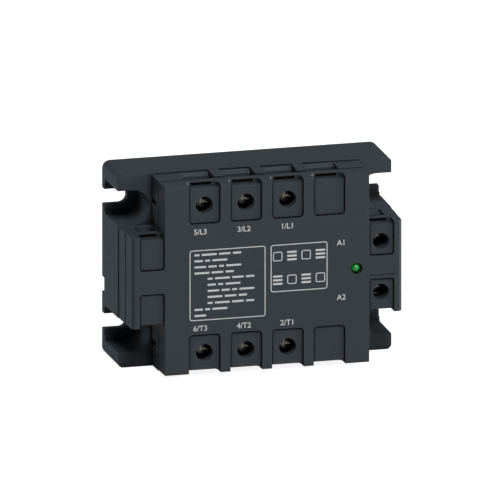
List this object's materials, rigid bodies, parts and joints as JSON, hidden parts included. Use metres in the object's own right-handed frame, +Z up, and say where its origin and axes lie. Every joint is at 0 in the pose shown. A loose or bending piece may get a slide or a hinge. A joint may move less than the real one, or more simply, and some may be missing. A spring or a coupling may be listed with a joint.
{
  "type": "solid state relay",
  "caption": "Panel-mount three-phase solid state relay: flat back with open side slots, screw-clamp wire terminals top and bottom, control terminals at the right, green indicator.",
  "frame": {"origin": "centre of the flat back that lies on the heat sink", "axes": "+X along the relay's width to the right, +Y out of the back into the heat sink, +Z up; the front faces -Y"},
  "size_m": [0.105, 0.0402, 0.074],
  "materials": {
    "anthracite_plastic": "satin",
    "aluminium": "satin",
    "print_ink": "matte",
    "green_lens": "gloss",
    "ceramic": "matte",
    "silicon": "satin",
    "filling": "satin",
    "tinned_pins": "satin",
    "copper": "satin",
    "board_green": "satin",
    "black_component": "matte",
    "resistor_body": "satin",
    "capacitor_body": "gloss",
    "varistor_body": "gloss",
    "led_body": "gloss",
    "zinc_steel": "satin"
  },
  "bodies": {
    "relay": {"base_plate": "aluminium", "base_screws": "zinc_steel", "housing": "anthracite_plastic", "terminal_frame": "anthracite_plastic", "front_cover": "anthracite_plastic", "light_guide": "green_lens", "front_print": "print_ink", "substrate_l1": "ceramic", "substrate_l2": "ceramic", "substrate_l3": "ceramic", "thyristor_chips": "silicon", "potting": "filling", "gate_pins": "tinned_pins", "bar_l1": "copper", "bar_l2": "copper", "bar_l3": "copper", "bar_t1": "copper", "bar_t2": "copper", "bar_t3": "copper", "bar_a1": "copper", "bar_a2": "copper", "terminal_nuts": "zinc_steel", "control_nuts": "zinc_steel", "control_board": "board_green", "optocouplers": "black_component", "gate_resistors": "resistor_body", "snubber_capacitors": "capacitor_body", "varistors": "varistor_body", "input_regulator": "black_component", "input_diode": "black_component", "status_led": "led_body"},
    "clamp_l1_body": {"clamp_l1": "zinc_steel"},
    "screw_l1_body": {"screw_l1": "zinc_steel"},
    "clamp_l2_body": {"clamp_l2": "zinc_steel"},
    "screw_l2_body": {"screw_l2": "zinc_steel"},
    "clamp_l3_body": {"clamp_l3": "zinc_steel"},
    "screw_l3_body": {"screw_l3": "zinc_steel"},
    "clamp_t1_body": {"clamp_t1": "zinc_steel"},
    "screw_t1_body": {"screw_t1": "zinc_steel"},
    "clamp_t2_body": {"clamp_t2": "zinc_steel"},
    "screw_t2_body": {"screw_t2": "zinc_steel"},
    "clamp_t3_body": {"clamp_t3": "zinc_steel"},
    "screw_t3_body": {"screw_t3": "zinc_steel"},
    "clamp_a1_body": {"clamp_a1": "zinc_steel"},
    "screw_a1_body": {"screw_a1": "zinc_steel"},
    "clamp_a2_body": {"clamp_a2": "zinc_steel"},
    "screw_a2_body": {"screw_a2": "zinc_steel"}
  },
  "joints": [
    {"name": "lift_l1", "type": "slide", "parent": "relay", "child": "clamp_l1_body", "axis": [0, 1, 0], "range_m": [0, 0.0055]},
    {"name": "turn_l1", "type": "hinge", "parent": "clamp_l1_body", "child": "screw_l1_body", "pos_m": [0.00794, -0.0325, 0.0282], "axis": [0, 1, 0], "range_deg": [0, 2829]},
    {"name": "lift_l2", "type": "slide", "parent": "relay", "child": "clamp_l2_body", "axis": [0, 1, 0], "range_m": [0, 0.0055]},
    {"name": "turn_l2", "type": "hinge", "parent": "clamp_l2_body", "child": "screw_l2_body", "pos_m": [-0.00794, -0.0325, 0.0282], "axis": [0, 1, 0], "range_deg": [0, 2829]},
    {"name": "lift_l3", "type": "slide", "parent": "relay", "child": "clamp_l3_body", "axis": [0, 1, 0], "range_m": [0, 0.0055]},
    {"name": "turn_l3", "type": "hinge", "parent": "clamp_l3_body", "child": "screw_l3_body", "pos_m": [-0.02381, -0.0325, 0.0282], "axis": [0, 1, 0], "range_deg": [0, 2829]},
    {"name": "lift_t1", "type": "slide", "parent": "relay", "child": "clamp_t1_body", "axis": [0, 1, 0], "range_m": [0, 0.0055]},
    {"name": "turn_t1", "type": "hinge", "parent": "clamp_t1_body", "child": "screw_t1_body", "pos_m": [0.00794, -0.0325, -0.0282], "axis": [0, 1, 0], "range_deg": [0, 2829]},
    {"name": "lift_t2", "type": "slide", "parent": "relay", "child": "clamp_t2_body", "axis": [0, 1, 0], "range_m": [0, 0.0055]},
    {"name": "turn_t2", "type": "hinge", "parent": "clamp_t2_body", "child": "screw_t2_body", "pos_m": [-0.00794, -0.0325, -0.0282], "axis": [0, 1, 0], "range_deg": [0, 2829]},
    {"name": "lift_t3", "type": "slide", "parent": "relay", "child": "clamp_t3_body", "axis": [0, 1, 0], "range_m": [0, 0.0055]},
    {"name": "turn_t3", "type": "hinge", "parent": "clamp_t3_body", "child": "screw_t3_body", "pos_m": [-0.02381, -0.0325, -0.0282], "axis": [0, 1, 0], "range_deg": [0, 2829]},
    {"name": "lift_a1", "type": "slide", "parent": "relay", "child": "clamp_a1_body", "axis": [0, 1, 0], "range_m": [0, 0.0032]},
    {"name": "turn_a1", "type": "hinge", "parent": "clamp_a1_body", "child": "screw_a1_body", "pos_m": [0.0436, -0.0302, 0.0097], "axis": [0, 1, 0], "range_deg": [0, 2305]},
    {"name": "lift_a2", "type": "slide", "parent": "relay", "child": "clamp_a2_body", "axis": [0, 1, 0], "range_m": [0, 0.0032]},
    {"name": "turn_a2", "type": "hinge", "parent": "clamp_a2_body", "child": "screw_a2_body", "pos_m": [0.0436, -0.0302, -0.0097], "axis": [0, 1, 0], "range_deg": [0, 2305]}
  ],
  "couplings": [
    {"joint": "turn_l1", "follows": "lift_l1", "rad_per_m": 8976},
    {"joint": "turn_l2", "follows": "lift_l2", "rad_per_m": 8976},
    {"joint": "turn_l3", "follows": "lift_l3", "rad_per_m": 8976},
    {"joint": "turn_t1", "follows": "lift_t1", "rad_per_m": 8976},
    {"joint": "turn_t2", "follows": "lift_t2", "rad_per_m": 8976},
    {"joint": "turn_t3", "follows": "lift_t3", "rad_per_m": 8976},
    {"joint": "turn_a1", "follows": "lift_a1", "rad_per_m": 12566},
    {"joint": "turn_a2", "follows": "lift_a2", "rad_per_m": 12566}
  ]
}
